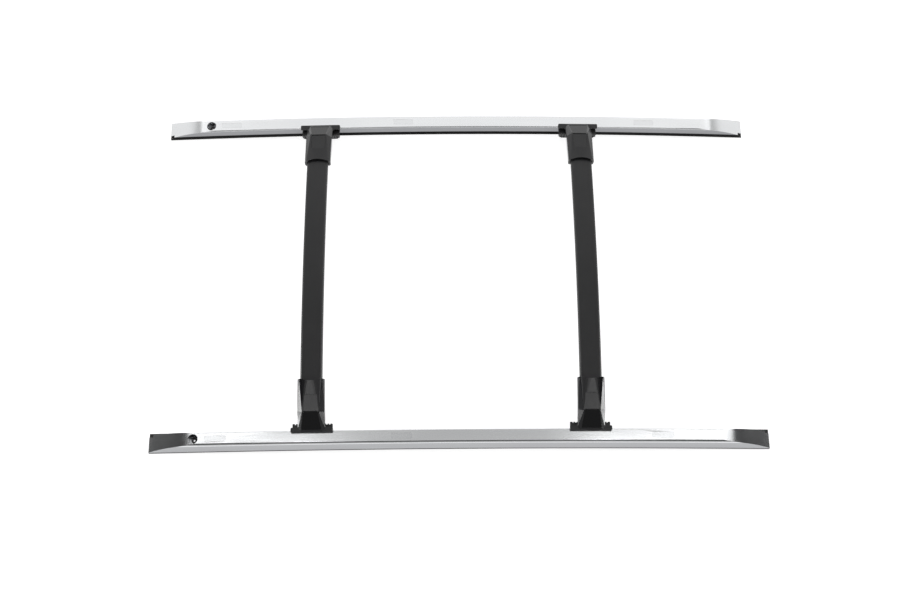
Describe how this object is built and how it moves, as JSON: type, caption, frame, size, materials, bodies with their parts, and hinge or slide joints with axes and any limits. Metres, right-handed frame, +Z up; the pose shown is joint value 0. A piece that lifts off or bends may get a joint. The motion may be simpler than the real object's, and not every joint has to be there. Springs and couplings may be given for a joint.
{
  "type": "roof rack crossbar set",
  "caption": "Arched silver side rails joined by black clamp-on crossbars that slide along them to carry loads on a car roof.",
  "frame": {"origin": "centre of the rack on the surface that the rail ends stand on", "axes": "+X along the rails to the rear, +Y from the left rail to the right one, +Z up"},
  "size_m": [1.7508, 1.034, 0.1339],
  "materials": {
    "rail": "polished silver anodised, soft long reflections",
    "seal": "matt black",
    "bar": "satin black powder coat",
    "bracket": "satin black coated casting",
    "shell": "semi-gloss moulded black",
    "cover": "glossy moulded black",
    "pad": "matt black",
    "steel": "zinc plated"
  },
  "bodies": {
    "side_rails": {"left_rail": "rail", "left_rail_seal": "seal", "left_rail_covers": "rail", "left_stud_nut": "steel", "right_rail": "rail", "right_rail_seal": "seal", "right_rail_covers": "rail", "right_stud_nut": "steel"},
    "front_crossbar": {"front_bar": "bar", "front_left_bracket": "bracket", "front_left_shell": "shell", "front_left_panel": "shell", "front_left_hinge_pin": "steel", "front_left_grip_pad": "pad", "front_left_washer": "steel", "front_left_bar_screws": "steel", "front_left_shell_screws": "steel", "front_right_bracket": "bracket", "front_right_shell": "shell", "front_right_panel": "shell", "front_right_hinge_pin": "steel", "front_right_grip_pad": "pad", "front_right_washer": "steel", "front_right_bar_screws": "steel", "front_right_shell_screws": "steel"},
    "front_left_cover": {"front_left_cover": "cover"},
    "front_left_screw": {"front_left_clamp_screw": "steel"},
    "front_left_jaw": {"front_left_lower_jaw": "bracket", "front_left_jaw_nut": "steel"},
    "front_right_cover": {"front_right_cover": "cover"},
    "front_right_screw": {"front_right_clamp_screw": "steel"},
    "front_right_jaw": {"front_right_lower_jaw": "bracket", "front_right_jaw_nut": "steel"},
    "rear_crossbar": {"rear_bar": "bar", "rear_left_bracket": "bracket", "rear_left_shell": "shell", "rear_left_panel": "shell", "rear_left_hinge_pin": "steel", "rear_left_grip_pad": "pad", "rear_left_washer": "steel", "rear_left_bar_screws": "steel", "rear_left_shell_screws": "steel", "rear_right_bracket": "bracket", "rear_right_shell": "shell", "rear_right_panel": "shell", "rear_right_hinge_pin": "steel", "rear_right_grip_pad": "pad", "rear_right_washer": "steel", "rear_right_bar_screws": "steel", "rear_right_shell_screws": "steel"},
    "rear_left_cover": {"rear_left_cover": "cover"},
    "rear_left_screw": {"rear_left_clamp_screw": "steel"},
    "rear_left_jaw": {"rear_left_lower_jaw": "bracket", "rear_left_jaw_nut": "steel"},
    "rear_right_cover": {"rear_right_cover": "cover"},
    "rear_right_screw": {"rear_right_clamp_screw": "steel"},
    "rear_right_jaw": {"rear_right_lower_jaw": "bracket", "rear_right_jaw_nut": "steel"}
  },
  "joints": [
    {"name": "front_crossbar_slide", "type": "slide", "parent": "side_rails", "child": "front_crossbar", "axis": [0.9994, 0, 0.0354], "range_m": [-0.1, 0.1]},
    {"name": "front_left_cover_hinge", "type": "hinge", "parent": "front_crossbar", "child": "front_left_cover", "pos_m": [-0.41365, -0.42562, 0.10062], "axis": [-0.9994, 0, -0.0354], "range_deg": [0, 70]},
    {"name": "front_left_clamp_screw_turn", "type": "hinge", "parent": "front_crossbar", "child": "front_left_screw", "pos_m": [-0.41252, -0.4535, 0.0687], "axis": [-0.0354, 0, 0.9994], "range_deg": [0, 720]},
    {"name": "front_left_jaw_travel", "type": "slide", "parent": "front_crossbar", "child": "front_left_jaw", "axis": [0.0354, 0, -0.9994], "range_m": [0, 0.002]},
    {"name": "front_right_cover_hinge", "type": "hinge", "parent": "front_crossbar", "child": "front_right_cover", "pos_m": [-0.41365, 0.42562, 0.10062], "axis": [0.9994, 0, 0.0354], "range_deg": [0, 70]},
    {"name": "front_right_clamp_screw_turn", "type": "hinge", "parent": "front_crossbar", "child": "front_right_screw", "pos_m": [-0.41252, 0.4535, 0.0687], "axis": [-0.0354, 0, 0.9994], "range_deg": [0, 720]},
    {"name": "front_right_jaw_travel", "type": "slide", "parent": "front_crossbar", "child": "front_right_jaw", "axis": [0.0354, 0, -0.9994], "range_m": [0, 0.002]},
    {"name": "rear_crossbar_slide", "type": "slide", "parent": "side_rails", "child": "rear_crossbar", "axis": [0.9995, 0, -0.0313], "range_m": [-0.1, 0.1]},
    {"name": "rear_left_cover_hinge", "type": "hinge", "parent": "rear_crossbar", "child": "rear_left_cover", "pos_m": [0.36635, -0.42562, 0.1022], "axis": [-0.9995, 0, 0.0313], "range_deg": [0, 70]},
    {"name": "rear_left_clamp_screw_turn", "type": "hinge", "parent": "rear_crossbar", "child": "rear_left_screw", "pos_m": [0.36535, -0.4535, 0.07028], "axis": [0.0313, 0, 0.9995], "range_deg": [0, 720]},
    {"name": "rear_left_jaw_travel", "type": "slide", "parent": "rear_crossbar", "child": "rear_left_jaw", "axis": [-0.0313, 0, -0.9995], "range_m": [0, 0.002]},
    {"name": "rear_right_cover_hinge", "type": "hinge", "parent": "rear_crossbar", "child": "rear_right_cover", "pos_m": [0.36635, 0.42562, 0.1022], "axis": [0.9995, 0, -0.0313], "range_deg": [0, 70]},
    {"name": "rear_right_clamp_screw_turn", "type": "hinge", "parent": "rear_crossbar", "child": "rear_right_screw", "pos_m": [0.36535, 0.4535, 0.07028], "axis": [0.0313, 0, 0.9995], "range_deg": [0, 720]},
    {"name": "rear_right_jaw_travel", "type": "slide", "parent": "rear_crossbar", "child": "rear_right_jaw", "axis": [-0.0313, 0, -0.9995], "range_m": [0, 0.002]}
  ],
  "couplings": [
    {"joint": "front_left_clamp_screw_turn", "follows": "front_left_jaw_travel", "rad_per_m": 6283.2},
    {"joint": "front_right_clamp_screw_turn", "follows": "front_right_jaw_travel", "rad_per_m": 6283.2},
    {"joint": "rear_left_clamp_screw_turn", "follows": "rear_left_jaw_travel", "rad_per_m": 6283.2},
    {"joint": "rear_right_clamp_screw_turn", "follows": "rear_right_jaw_travel", "rad_per_m": 6283.2}
  ]
}
